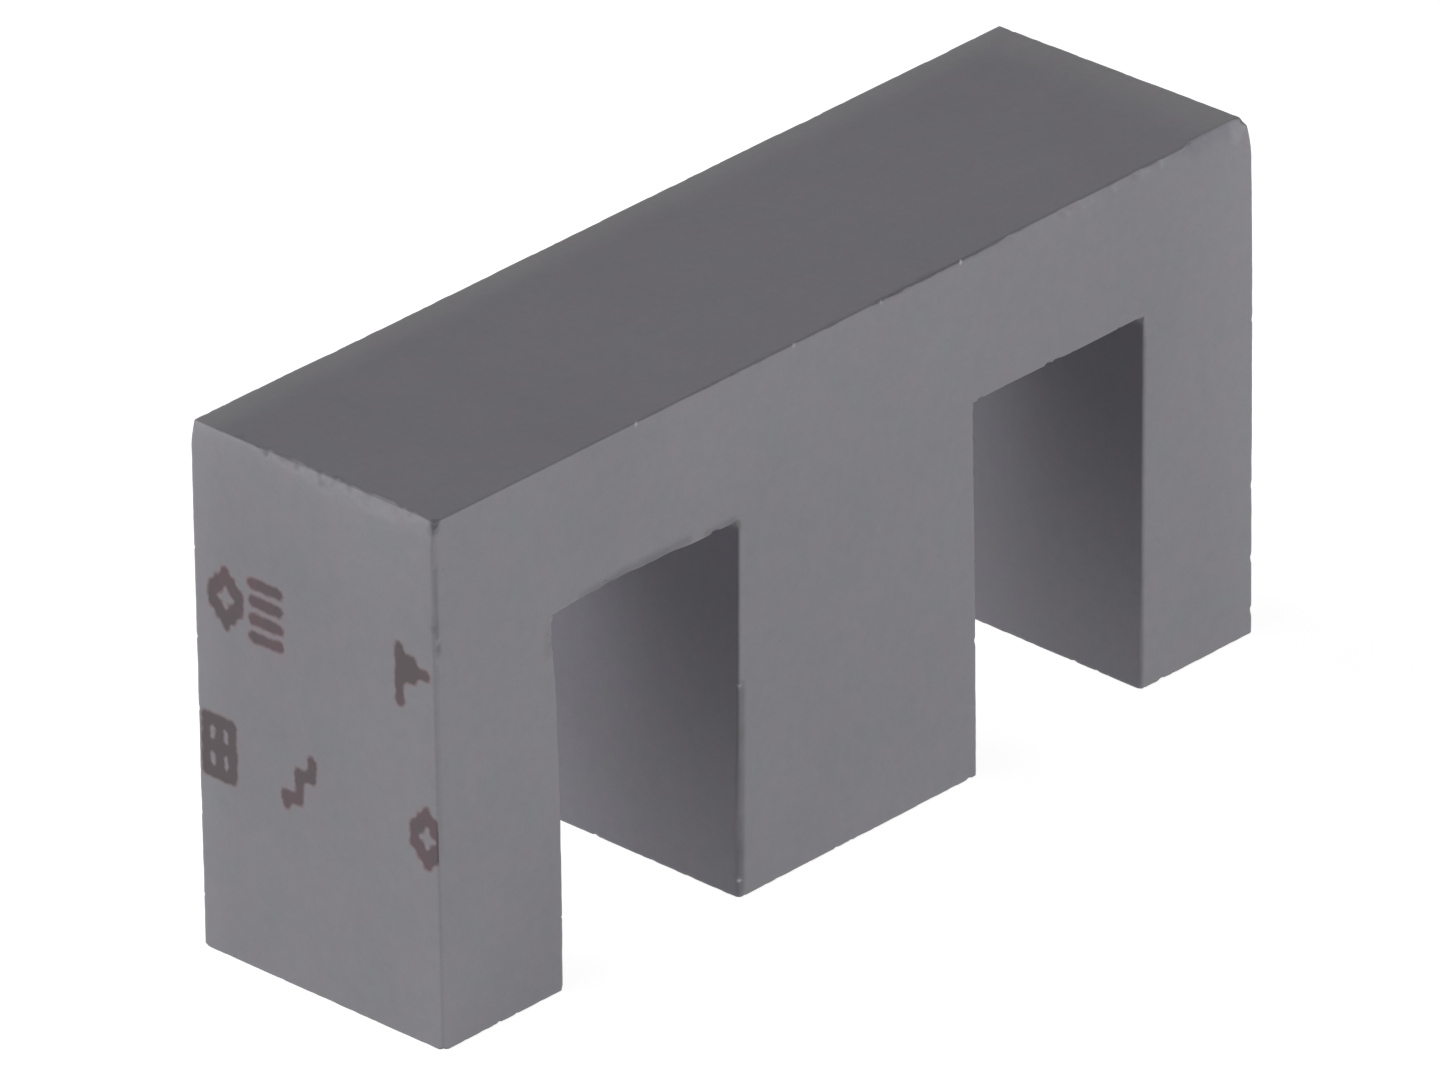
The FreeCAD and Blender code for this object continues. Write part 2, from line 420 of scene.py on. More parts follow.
def lattice_mesh(block, edges, busy_spots):
    """The surface as lattice points, faces and their materials, with no gaps where cell sizes
    meet."""
    axis, side, corner, size = refine(block, edges, busy_spots)
    across, up = cell_frame(axis)
    # In this order the four corners run anticlockwise seen along the axis, so a cell that
    # faces the other way swaps its two directions.
    flipped = side < 0
    across[flipped], up[flipped] = up[flipped], across[flipped]
    ways = ((0, 0), (1, 0), (1, 1), (0, 1))
    corners = [corner + (across * i + up * j) * size[:, None] for i, j in ways]
    corner_keys = np.stack([packed_key(places) for places in corners], axis=1)
    used = np.unique(corner_keys)

    top_step = sum(CELLS_Z) * FINE_STEPS
    is_ground = (axis == 2) & ((corner[:, 2] == 0) | (corner[:, 2] == top_step))
    is_left_end = (axis == 0) & (corner[:, 0] == 0)
    material = np.where(is_ground, GROUND, np.where(is_left_end, MARKED, PRESSED))
    faces, materials, middles = [], [], []
    for cell_size in np.unique(size):
        rows = np.flatnonzero(size == cell_size)
        rims = []
        for turn in range(4):
            start, end = corners[turn][rows], corners[(turn + 1) % 4][rows]
            direction = (end - start) // cell_size
            rims += [packed_key(start + direction * step) for step in range(cell_size)]
        # A bigger cell takes in the points that smaller neighbours put on its rim.
        rims = np.stack(rims, axis=1)
        slots = np.minimum(np.searchsorted(used, rims), len(used) - 1)
        present = used[slots] == rims
        present[:, ::cell_size] = True
        plain = present.sum(axis=1) == 4
        faces += [tuple(keys) for keys in corner_keys[rows[plain]]]
        materials += material[rows[plain]].tolist()
        for local in np.flatnonzero(~plain):
            row = rows[local]
            rim = rims[local][present[local]]
            middles.append(packed_key(corner[row] + (across[row] + up[row]) * (cell_size // 2)))
            faces += [(first, last, middles[-1]) for first, last in zip(rim, np.roll(rim, -1))]
            materials += [material[row]] * len(rim)

    keys = np.unique(np.concatenate([used, middles]))
    rows = {key: row for row, key in enumerate(keys.tolist())}
    steps = np.stack([keys // KEY_BASE**2, keys // KEY_BASE % KEY_BASE, keys % KEY_BASE], axis=1)
    return steps, [tuple(rows[int(key)] for key in face) for face in faces], materials


# ---------------------------------------------------------------- wear


# Where the block's faces lie in the tables below, in millimetres.
FRONT, REAR = -4.5, 4.5
LEFT_END, RIGHT_END = -16.2, 16.2
CEILING, BACK = 11.5, 16.0


def on_front(*rows):
    """Rows that start with two places in the front face, each given by its X and Z."""
    return tuple(((x0, FRONT, z0), (x1, FRONT, z1), *rest) for x0, z0, x1, z1, *rest in rows)


def chips(edge, out, *rows):
    """Flakes along a straight edge. Its varying coordinate is None, and starts each row."""
    return [
        (tuple(along if part is None else part for part in edge), out, radius, bite)
        for along, radius, bite in rows
    ]


# Where an edge is rounder than elsewhere: the two ends of the stretch, how much is added to its
# radius there, and how far round it that fades out, all in millimetres.
SOFT_STRETCHES = on_front(
    # the left window's outer front edge, and the front edge of its ceiling
    (-11.6, 10.4, -11.6, 11.0, 0.07, 0.6),
    (-10.3, CEILING, -7.4, CEILING, 0.16, 1.0),
    # the left front edges of the centre leg and the right leg, near their ends
    (-4.7, 0.0, -4.7, 1.5, 0.14, 4.5),
    (11.6, 0.0, 11.6, 1.0, 0.07, 3.0),
)

# Where handling has worn a slant onto an edge of the back: the two ends of the stretch, how deep
# the slant cuts into the back and how far along the edge that fades out.
SLANTS_IN_FACES = (
    # the front edge of the back, and its right end
    ((7.5, FRONT, BACK), (12.5, FRONT, BACK), 0.09, 3.4),
    ((14.1, FRONT, BACK), (15.4, FRONT, BACK), 0.26, 1.0),
    # the rear edge of the back, more towards the right
    ((-10.0, REAR, BACK), (12.0, REAR, BACK), 0.04, 4.0),
    ((8.0, REAR, BACK), (RIGHT_END, REAR, BACK), 0.07, 3.0),
)
SLANTS_IN_ENDS = (
    # the left crown's crisp edge
    ((-16.06, 0.5, BACK), (-16.06, -2.8, BACK), 0.08, 2.4),
)

# Flakes that the core has lost: a place on its edge, the way out of the block there, how rounded
# the flake's floor is (its radius) and how deep it bites, all in millimetres.
FLAKES = (
    # the left front corner of the back, and down the front edge of the left end
    ((-16.08, FRONT, BACK), (-1, -0.8, 1), 0.55, 0.16),
    ((LEFT_END, FRONT, 12.85), (-1, -0.6, 0), 0.20, 0.07),
    ((-16.08, FRONT, 12.15), (-0.3, -1, 0), 0.17, 0.06),
    ((LEFT_END, FRONT, 3.81), (-1, -1, 0), 0.12, 0.05),
    ((LEFT_END, FRONT, 0.00), (-1, -1, -1), 0.40, 0.10),
    # the left window: a dent beside its outer corner, its inner corner and inner front edge
    ((-11.85, FRONT, 10.75), (0.15, -1, 0), 0.60, 0.03),
    ((-4.75, FRONT, 11.46), (-1, -1, -1), 0.22, 0.07),
    ((-4.7, FRONT, 6.45), (-1, -1, 0), 0.11, 0.05),
    # the front edges of both ceilings
    *chips(
        (None, FRONT, CEILING), (0, -1, -1),
        (-10.30, 0.60, 0.05), (-9.45, 0.80, 0.09), (-8.70, 0.60, 0.10), (-7.95, 0.70, 0.11),
        (-7.20, 0.50, 0.08), (-5.50, 0.50, 0.05),
        (5.00, 0.16, 0.05), (7.74, 0.20, 0.07), (8.10, 0.24, 0.07), (10.60, 0.15, 0.04),
    ),
    # the right window's outer front edge
    *chips((11.6, FRONT, None), (-1, -1, 0), (9.20, 0.12, 0.05), (2.28, 0.11, 0.05)),
    # the front edge of the right end, from the back down
    ((15.86, FRONT, 15.95), (1, -1, 1), 0.36, 0.11),
    *chips((RIGHT_END, FRONT, None), (1, -1, 0), (2.30, 0.26, 0.06), (0.70, 0.34, 0.07)),
    # the rear edge of the left end
    *chips((LEFT_END, REAR, None), (-1, 1, 0), (12.90, 0.30, 0.02), (7.30, 0.12, 0.03)),
    ((LEFT_END, REAR, 0.05), (-1, 1, -1), 0.30, 0.04),
    # the unseen corners at the rear, plainly worn
    ((15.75, REAR, 15.9), (1, 1, 1), 0.40, 0.05),
    ((RIGHT_END, REAR, 0.0), (1, 1, -1), 0.40, 0.10),
)

# Dark streaks along the edges, partly dirt and partly painted shade of chip floors and rounded
# edges that turn from the light: the two ends of each streak and its half width in millimetres,
# and how strong it is.
DIRT_AND_SHADE = (
    *on_front(
        # the edge of the left end, from its top corner down
        (-16.06, 15.98, -16.10, 15.78, 0.20, 0.62),
        (-16.12, 15.70, -16.08, 14.60, 0.12, 0.20),
        (-16.08, 14.60, -16.07, 12.55, 0.08, 0.52),
        (-16.03, 12.24, -16.03, 12.06, 0.13, 0.34),
        (-16.10, 11.70, -16.10, 6.00, 0.07, 0.16),
        # the edge of the back
        (-6.20, BACK, 1.20, BACK, 0.06, 0.22),
        (1.20, BACK, 9.40, BACK, 0.07, 0.60),
        (9.40, BACK, 12.4, BACK, 0.06, 0.25),
        # painted shade of chip floors at the left window's ceiling, and of its inner edge
        (-10.5, 11.60, -9.30, 11.66, 0.17, 0.32),
        (-9.20, 11.68, -6.60, 11.66, 0.17, 0.42),
        (-5.90, 11.60, -4.90, 11.58, 0.13, 0.34),
        (-11.80, 11.05, -11.80, 10.45, 0.20, 0.16),
        (-4.70, 5.50, -4.70, 0.40, 0.06, 0.30),
        # the left edges of the centre leg and the right leg, down to their ends
        (-4.60, 0.2, -4.60, 6.5, 0.13, 0.50),
        (11.64, 0.2, 11.64, 10.8, 0.08, 0.22),
    ),
    # painted shade where the left crown's crisp edge has crumbled
    ((-15.92, 2.92, BACK), (-15.92, 2.80, BACK), 0.13, 0.20),
    ((-15.92, -0.75, BACK), (-15.92, -0.90, BACK), 0.15, 0.20),
    ((-15.95, -2.55, BACK), (-15.95, -2.68, BACK), 0.12, 0.18),
)

# Painted highlights, bright specks on the front edges: the place of each and its half width, in
# millimetres.
PAINTED_GLINTS = (
    ((4.48, FRONT, 15.97), 0.05),
    ((2.40, FRONT, 15.97), 0.03),
    ((1.30, FRONT, 15.97), 0.04),
    ((-2.1, FRONT, 15.97), 0.04),
    ((-8.3, FRONT, 15.97), 0.04),
    ((-4.7, FRONT, 6.45), 0.06),
    ((-4.65, -4.45, 0.52), 0.045),
)

# At how many half widths from their middles the streaks of dirt and painted shade, and the
# painted glints, have faded out.
DIRT_AND_SHADE_FADED, PAINTED_GLINT_FADED = 1.35, 1.5

# How the kiln left the legs: for each line across the block, the shift along X at the mating
# plane and at the height of the ceilings, and how far the leg bulges between them, all in
# millimetres.
KILN = (
    (LEFT_END, 0.0, 0.0, 0.0),
    (-11.6, 0.05, -0.07, 0.11),
    (-4.7, 0.06, 0.34, 0.0),
    (4.7, 0.16, 0.20, 0.02),
    (11.6, -0.08, 0.18, 0.0),
    (RIGHT_END, -0.13, 0.02, 0.0),
)

# The small nicks: how much their sizes differ (as a logarithm), how far a nick may lean to one
# of its two faces, and how deep it may bite in millimetres.
NICK_SPREAD = 0.35
NICK_LEAN = 0.6
NICK_BITES = (0.02, 0.05)

# How deep a crumb may go, as a share of a usual one, and within which share of its radius a
# flake gets the finest cells.
DEEPEST_CRUMB = 1.5
BUSY_SHARE = 0.7

# The whole numbers that scatter cells: one for the seed, one for each axis and one to mix with.
SEED_FACTOR = 2654435761
AXIS_FACTORS = (73856093, 19349663, 83492791)
MIX_FACTOR = 2246822519


def scatter_values(cells, seed):
    """A repeatable value from 0 to 1 for each whole-numbered cell."""
    mixed = np.full(cells.shape[:-1], seed * SEED_FACTOR % 2**32, dtype=np.uint32)
    for axis, factor in enumerate(AXIS_FACTORS):
        mixed ^= (cells[..., axis] * factor % 2**32).astype(np.uint32)
        mixed = (mixed ^ (mixed >> np.uint32(15))) * np.uint32(MIX_FACTOR)
        mixed ^= mixed >> np.uint32(13)
    return mixed.astype(np.float64) / 2**32


def ease(part):
    """A smooth step from 0 to 1."""
    return part * part * (3 - 2 * part)


def soft_noise(points, wavelength, seed):
    """Smooth noise from -1 to 1 over points in space."""
    scaled = points / wavelength
    base = np.floor(scaled).astype(np.int64)
    part = ease(scaled - base)
    total = np.zeros(len(points))
    for corner in np.ndindex(2, 2, 2):
        weight = np.prod(np.where(corner, part, 1 - part), axis=1)
        total += weight * scatter_values(base + corner, seed)
    return total * 2 - 1


def layered_noise(points, seed, *layers):
    """Smooth noises on top of each other, each given by its wavelength and its amount."""
    return sum(
        amount * soft_noise(points, wavelength, seed + layer)
        for layer, (wavelength, amount) in enumerate(layers)
    )


def unit(direction):
    return np.array(direction, dtype=float) / np.linalg.norm(direction)


def small_nicks(block, edges, wear):
    """Seeded nicks along every outer edge."""
    dice = np.random.default_rng(wear.seed)
    nicks = []
    for edge in edges:
        first, last, one_face, other_face = (np.array(part) for part in edge)
        span = np.linalg.norm(last - first)
        for _ in range(dice.poisson(span * wear.nicks_per_mm)):
            place = first + (last - first) * dice.random()
            radius = wear.nick_size * MM * math.exp(dice.normal(0, NICK_SPREAD))
            lean = dice.uniform(-NICK_LEAN, NICK_LEAN)
            out = unit(one_face * (1 + lean) + other_face * (1 - lean))
            nicks.append((place, out, radius, min(radius / 2, dice.uniform(*NICK_BITES))))
    return nicks


def near_stretches(points, stretches):
    """How much of what a list of stretches adds reaches each point."""
    total = np.zeros(len(points))
    for first, last, amount, reach in stretches:
        near = np.clip(1 - distance_to_line(points, first, last) / reach, 0, 1)
        total = np.maximum(total, amount * ease(near))
    return total


def crumbs(points, wavelength, finer, seed):
    """How deep the crumbs go that an edge has lost, small ones within the larger, from 0 up."""
    noise = layered_noise(points, seed, (wavelength, 1.0), (finer, 0.8))
    return np.clip(0.2 + 1.6 * noise, 0, DEEPEST_CRUMB)


def rounded(one, other, radius):
    """Two faces that meet in a rounded edge."""
    both = np.hypot(np.maximum(one + radius, 0), np.maximum(other + radius, 0)) - radius
    return np.where((one > -radius) & (other > -radius), both, np.maximum(one, other))


class WornSurface:
    """How far points lie outside the worn block, in millimetres."""

    # How far round a flake points are tested, and the angle of the slants that crumbs leave.
    REACH = 0.35
    SLANT = math.radians(20)
    # Where the left crisp edge crumbles: this far from its end, and not this near its corners.
    CROWN_WIDTH, CROWN_CORNERS = 0.7, 0.25
    # Where the back's front edge crumbles: this far in, about this X, and this far either way.
    FRONT_WIDTH, FRONT_MIDDLE, FRONT_HALF = 0.25, 6.5, 7.5
    # A flat crumb on the crown goes this share as deep as a steep one.
    FLAT_SHARE = 0.4

    def __init__(self, block, wear, flakes, points):
        self.block = block
        rough = layered_noise(points, 11, (0.55, 1.0), (0.17, 0.6))
        sway = np.exp(wear.unevenness * rough)
        self.pressed = (wear.pressed_radius * MM + near_stretches(points, SOFT_STRETCHES)) * sway
        self.ground = wear.ground_radius * MM * sway

        x, y, z = points.T
        near_back = z > block.height / 2
        on_crown = near_back & (x < self.CROWN_WIDTH - block.half_length)
        on_crown &= np.abs(y) < block.half_depth - self.CROWN_CORNERS
        on_front = near_back & (y < self.FRONT_WIDTH - block.half_depth)
        on_front &= np.abs(x - self.FRONT_MIDDLE) < self.FRONT_HALF
        deep = np.where(on_crown, wear.crown_crumble, wear.ground_crumble)
        deep = np.where(on_front, wear.front_crumble, deep) * MM
        flat_share = np.where(on_crown, self.FLAT_SHARE, 1.0)
        self.steep_crumble = deep * crumbs(points, 0.46, 0.19, 13)
        self.flat_crumble = flat_share * deep * crumbs(points, 0.40, 0.16, 15)
        self.pressed_crumble = wear.pressed_crumble * MM * crumbs(points, 0.42, 0.15, 17)
        beside_back = np.stack([x, y, np.full(len(z), block.height)], axis=1)
        self.worn_faces = near_back * near_stretches(beside_back, SLANTS_IN_FACES)
        self.worn_ends = near_back * near_stretches(beside_back, SLANTS_IN_ENDS)
        self.take_flakes(flakes, points)

    def take_flakes(self, flakes, points):
        """Each flake as the ball that it takes out, and the points that this may reach."""
        self.centres = np.array([
            np.array(place) + unit(out) * (radius - bite) for place, out, radius, bite in flakes
        ])
        radii = np.array([radius for _, _, radius, _ in flakes])
        reached = [
            np.flatnonzero(np.abs(points - centre).max(axis=1) < radius + self.REACH)
            for centre, radius in zip(self.centres, radii)
        ]
        self.point_rows = np.concatenate(reached)
        self.flake_rows = np.repeat(np.arange(len(flakes)), [len(rows) for rows in reached])
        # A break isn't a smooth ball: its floor is hackly.
        near = points[self.point_rows]
        hackle = layered_noise(near, 21, (0.27, 0.16), (0.11, 0.08))
        self.radii = radii[self.flake_rows] * (1 + hackle)

    def tumbled(self, points):
        """The surface with its edges rounded and nothing broken off."""
        ends, front_and_rear, window, ground = self.block.faces(points)
        pressed = rounded(np.maximum(ends, window), front_and_rear, self.pressed)
        return rounded(pressed, ground, self.ground)

    def crumbled(self, points):
        """The slants that crumbs leave across the edges. At a ground face they are steep ones,
        which run on from the wall, and flat ones, which run on from the ground face."""
        ends, front_and_rear, window, ground = self.block.faces(points)
        sides = np.maximum(ends, window)
        most, least = math.cos(self.SLANT), math.sin(self.SLANT)
        steep = np.maximum(sides + self.worn_ends, front_and_rear + self.worn_faces)
        flat = np.maximum(sides, front_and_rear)
        return np.maximum.reduce([
            (sides + front_and_rear) * math.sqrt(0.5) + self.pressed_crumble,
            most * steep + least * ground + self.steep_crumble,
            least * flat + most * ground + self.flat_crumble,
        ])

    def broken(self, points):
        """The surface that crumbs and flakes have left."""
        flaked = np.full(len(points), -np.inf)
        offsets = points[self.point_rows] - self.centres[self.flake_rows]
        depth = self.radii - np.linalg.norm(offsets, axis=1)
        np.maximum.at(flaked, self.point_rows, depth)
        return np.maximum(self.crumbled(points), flaked)

    def outside(self, points):
        return np.maximum(self.tumbled(points), self.broken(points))

    def settle(self, points, rounds=7, nudge=0.002, least_slope=0.25):
        """Moves the points onto the worn surface."""
        for _ in range(rounds):
            slope = np.stack([
                self.outside(points + step) - self.outside(points - step)
                for step in np.eye(3) * nudge
            ], axis=1) / (2 * nudge)
            steepness = np.maximum((slope**2).sum(axis=1), least_slope)
            points = points - slope * (self.outside(points) / steepness)[:, None]
        return points


def dirt_shade_and_painted_glints(points):
    """How much dirt and painted shade darken each point, and how much painted highlight it has,
    from 0 to 1.
    """
    patchy = 1 + layered_noise(points, 31, (0.5, 0.25), (0.2, 0.20))
    soil, glint = np.zeros(len(points)), np.zeros(len(points))
    for first, last, half_width, strength in DIRT_AND_SHADE:
        away = distance_to_line(points, first, last) / half_width
        soil = np.maximum(soil, strength * np.clip(DIRT_AND_SHADE_FADED - away, 0, 1) * patchy)
    for place, half_width in PAINTED_GLINTS:
        away = np.linalg.norm(points - place, axis=1) / half_width
        glint = np.maximum(glint, np.clip(PAINTED_GLINT_FADED - away, 0, 1))
    return np.clip(soil, 0, 1), glint


def kiln_shift(block, points):
    """The slight lean that firing gave the legs, within the block's own box. The back keeps
    its place."""
    x, _, z = points.T
    lines, *shifts = zip(*KILN)
    at_foot, at_ceiling, bulge = (np.interp(x, lines, shift) for shift in shifts)
    up_leg = np.clip(z / block.ceiling, 0, 1)
    up_back = np.clip((z - block.ceiling) / (block.height - block.ceiling), 0, 1)
    lean = at_foot * (1 - up_leg) + at_ceiling * up_leg
    moved = points.copy()
    moved[:, 0] += lean * (1 - ease(up_back)) + 4 * bulge * up_leg * (1 - up_leg)
    reach = np.array([block.half_length, block.half_depth, block.height])
    return np.clip(moved, reach * (-1, -1, 0), reach)


def worn_core_mesh(block, wear):
    """The worn block as a mesh in metres, with what its materials need to know of it."""
    edges = block.edges()
    outer_edges = [edge for edge in edges if not block.hollow(edge)]
    flakes = [*FLAKES, *small_nicks(block, outer_edges, wear)]
    busy = [(np.array(place), BUSY_SHARE * radius) for place, _, radius, _ in FLAKES]
    steps, faces, materials = lattice_mesh(block, edges, busy)
    points = place_lattice(block, steps)
    surface = WornSurface(block, wear, flakes, points)
    points = surface.settle(points)

    # Where something is gone that tumbling would have left, there is a break. A slant that
    # handling has worn is as smooth as the face beside it, so it is none.
    gone, worn = 0.002, 0.02
    broken = surface.broken(points) > surface.tumbled(points) + gone
    broken &= np.maximum(surface.worn_faces, surface.worn_ends) < worn
    soil, glint = dirt_shade_and_painted_glints(points)
    values_by_name = {
        "broken": broken, "edge_distance": distance_to_edges(points, outer_edges),
        "soil": soil, "glint": glint,
    }

    mesh = bpy.data.meshes.new(PIECE)
    mesh.from_pydata((kiln_shift(block, points) / MM).tolist(), [], faces)
    mesh.polygons.foreach_set("material_index", materials)
    mesh.polygons.foreach_set("use_smooth", [True] * len(faces))
    for name, values in values_by_name.items():
        attribute = mesh.attributes.new(name, "FLOAT", "POINT")
        attribute.data.foreach_set("value", values.astype(np.float32))
    if mesh.validate():
        raise RuntimeError("the worn core's mesh had faults")
    mesh.update()
    return mesh


# ---------------------------------------------------------------- building node trees


class Tree:
    """A node tree that is written as sums rather than as boxes and wires."""

    ROW, ACROSS, DOWN = 12, 180, -220

    def __init__(self, tree):
        self.tree = tree

    def add(self, kind, inputs=(), **settings):
        """A node with its settings, and what its inputs are fed, by name or number."""
        down, across = divmod(len(self.tree.nodes), self.ROW)
        node = self.tree.nodes.new(kind)
        node.location = (self.ACROSS * across, self.DOWN * down)
        for name, value in settings.items():
            setattr(node, name, value)
        for name, value in dict(inputs).items():
            self.feed(node.inputs[name], value)
        return node

    def feed(self, socket, value):
        """Links a socket to another, or sets it to a plain value."""
        if isinstance(value, bpy.types.NodeSocket):
            self.tree.links.new(value, socket)
        elif hasattr(value, "__len__") and socket.type == "RGBA" and len(value) == 3:
            socket.default_value = (*value, 1.0)
        else:
            socket.default_value = value

    def math(self, operation, *values):
        return self.add("ShaderNodeMath", enumerate(values), operation=operation).outputs[0]

    def times(self, first, second):
        return self.math("MULTIPLY", first, second)

    def minus(self, first, second):
        return self.math("SUBTRACT", first, second)

    def line(self, value, factor, start):
        """A value times a factor, and added to a start."""
        return self.math("MULTIPLY_ADD", value, factor, start)

    def vector(self, operation, *values):
        node = self.add("ShaderNodeVectorMath", enumerate(values), operation=operation)
        return node.outputs[0]

    def parts(self, vector):
        """A vector's X, Y and Z by name."""
        return self.add("ShaderNodeSeparateXYZ", {0: vector}).outputs

    def smooth(self, value, low, high, to_low=0.0, to_high=1.0):
        """A smooth ramp from one value to another."""
        names = ("Value", "From Min", "From Max", "To Min", "To Max")
        inputs = zip(names, (value, low, high, to_low, to_high))
        node = self.add("ShaderNodeMapRange", inputs, interpolation_type="SMOOTHSTEP")
        return node.outputs["Result"]

    def mix(self, factor, first, second, blend="MIX"):
        """A mix of two colours. A Mix node has its colours in sockets 6, 7 and 2."""
        inputs = {0: factor, 6: first, 7: second}
        node = self.add("ShaderNodeMix", inputs, data_type="RGBA", blend_type=blend)
        return node.outputs[2]

    def tint(self, colour, factors):
        """A colour times another, or times a value that acts on red, green and blue alike."""
        return self.mix(1.0, colour, factors, "MULTIPLY")

    def noise(self, where, scale, detail=2.0, roughness=0.5, distortion=0.0):
        names = ("Vector", "Scale", "Detail", "Roughness", "Distortion")
        inputs = zip(names, (where, scale, detail, roughness, distortion))
        return self.add("ShaderNodeTexNoise", inputs).outputs[0]

    def attribute(self, name):
        return self.add("ShaderNodeAttribute", attribute_name=name).outputs["Fac"]

    def group(self, tree, inputs):
        return self.add("ShaderNodeGroup", inputs, node_tree=tree).outputs

    def millimetres(self):
        """The place on the piece, in millimetres."""
        place = self.add("ShaderNodeTexCoord").outputs["Object"]
        return self.vector("MULTIPLY", place, (MM, MM, MM))


def cleared(owner):
    """The empty node tree of a material or a world."""
    owner.use_nodes = True
    owner.node_tree.nodes.clear()
    return Tree(owner.node_tree)


def effect(name, inputs, sums):
    """A node group whose sums turn its named inputs, numbers and a place, into named outputs."""
    group = bpy.data.node_groups.new(name, "ShaderNodeTree")
    new_socket = group.interface.new_socket
    new_socket("Place", in_out="INPUT", socket_type="NodeSocketVector")
    for label, default in inputs.items():
        socket = new_socket(label, in_out="INPUT", socket_type="NodeSocketFloat")
        socket.default_value = default
    tree = Tree(group)
    results = sums(tree, tree.add("NodeGroupInput").outputs)
    for label in results:
        new_socket(label, in_out="OUTPUT", socket_type="NodeSocketFloat")
    tree.add("NodeGroupOutput", results)
    return group


def fired_grain(tree, given):
    """Sintered grain: a tone about 1, a height and the mask of the open pores."""
    place = given["Place"]
    per_mm = tree.math("DIVIDE", 1.0, given["Grain"])
    fine = tree.noise(place, per_mm, detail=3.0, roughness=0.65)
    clumps = tree.noise(place, tree.times(per_mm, 0.22), detail=3.0, roughness=0.6)
    inputs = {"Vector": place, "Scale": tree.times(per_mm, 0.16)}
    pores = tree.add("ShaderNodeTexVoronoi", inputs).outputs
    picked = tree.add("ShaderNodeSeparateColor", {0: pores["Color"]}).outputs[0]
    rare = tree.math("GREATER_THAN", picked, 0.72)
    open_pores = tree.times(rare, tree.smooth(pores["Distance"], 0.05, 0.13, 1.0, 0.0))
    speckle = tree.math("ADD", tree.minus(fine, 0.5), tree.minus(clumps, 0.5))
    return {
        "Tone": tree.line(speckle, given["Contrast"], 1.0),
        "Height": tree.minus(tree.line(clumps, 0.6, fine), open_pores),
        "Pores": open_pores,
    }


def mottling_and_painted_light(tree, given):
    """Slow changes of tone and hue over a fired face, from 0 to 1, and painted light that makes a
    face paler towards the right end and the rear edge."""
    place = given["Place"]
    parts = tree.parts(place)
    to_end = tree.minus(parts["X"], given["Half length"])
    to_rear = tree.minus(parts["Y"], given["Half depth"])
    nearer = tree.math("MAXIMUM", tree.times(to_end, 0.5), to_rear)
    return {
        "Broad": tree.noise(place, 0.13, detail=1.0, distortion=0.4),
        "Cloud": tree.noise(place, 0.7, detail=3.0, roughness=0.55),
        "Hue": tree.noise(place, 0.9, detail=4.0, roughness=0.7),
        "Pale": tree.smooth(nearer, -1.4, 0.1),
    }


def edge_breaks_and_sheen(tree, given):
    """Masks of the breaks, and of the pale line beside an edge, which is partly dust and partly
    painted sheen.
    """
    ragged = tree.noise(given["Place"], 2.6, detail=3.0, roughness=0.65)
    reach = tree.times(given["Reach"], tree.line(ragged, 1.6, 0.2))
    return {
        "Broken": tree.smooth(tree.attribute("broken"), 0.25, 0.75),
        "Rubbed": tree.smooth(tree.attribute("edge_distance"), 0.02, reach, 1.0, 0.0),
    }


# The ink's motifs, five dots wide and seven high, as a print head would throw them.
MOTIFS = {
    "lozenge": ("..#..", ".###.", "##.##", "#...#", "##.##", ".###.", "..#.."),
    "window_pane": ("#####", "#.#.#", "#.#.#", "#####", "#.#.#", "#.#.#", "#####"),
    "pennant": ("#....", "###..", "#####", "###..", "#....", "#....", "#...."),
    "slats": ("#####", ".....", "#####", ".....", "#####", ".....", "#####"),
    "stair": ("....#", "....#", "..###", "..#..", "..#..", "###..", "#...."),
    "blank": (".....",) * 7,
}

# Each stamp: its motifs from left to right, its distance from the rear edge in millimetres,
# and the line in which it stands.
STAMPS = (
    (("lozenge", "slats"), 0.55, "upper_line"),
    (("window_pane", "blank", "stair"), 0.15, "lower_line"),
    (("pennant",), 7.55, "upper_line"),
    (("lozenge",), 7.95, "lower_line"),
)


# How far the dots stray, and how far in from the end face the ink fades out, in millimetres.
INK_WOBBLE = 0.16
INK_DEPTH = (0.02, 0.10)


def stamp_rows(motifs):
    """Each row of dots, lowest first, as a binary fraction with the first dot in the halves."""
    rows = [".".join(rows) for rows in zip(*(MOTIFS[motif] for motif in motifs))]
    return [
        sum(0.5 ** (column + 1) for column, dot in enumerate(row) if dot == "#")
        for row in reversed(rows)
    ]


def dot_field(tree, across, up, motifs):
    """How much ink the dots of one stamp leave at a place, from 0 to 1."""
    # One slot for each row of dots, with an empty one below and above.
    slots = [0.0, *stamp_rows(motifs), 0.0]
    per_slot = 1 / len(slots)
    column, row = tree.math("FLOOR", across), tree.math("FLOOR", up)
    part_across, part_up = tree.minus(across, column), tree.minus(up, row)

    def between(first, last, share_along):
        return tree.line(tree.minus(last, first), share_along, first)

    blended = []
    for row_step in (0, 1):
        # The middle of the slot for this row or the next is looked up.
        where = tree.line(row, per_slot, (row_step + 1.5) * per_slot)
        table = tree.add("ShaderNodeValToRGB", {0: where})
        ramp = table.color_ramp
        ramp.interpolation = "CONSTANT"
        ramp.elements[1].position = (len(slots) - 1) * per_slot
        for slot in range(1, len(slots) - 1):
            ramp.elements.new(slot * per_slot)
        for element, dots in zip(ramp.elements, slots):
            element.color = (0.0, 0.0, 0.0, dots)
        found = []
        for column_step in (0, 1):
            # The wanted dot is shifted up to the ones, with a little added against rounding.
            shift = tree.math("POWER", 2.0, tree.math("ADD", column, column_step + 1.0))
            read = tree.math("FLOOR", tree.line(table.outputs["Alpha"], shift, 0.002))
            found.append(tree.math("FLOORED_MODULO", read, 2.0))
        blended.append(between(*found, part_across))
    return between(*blended, part_up)


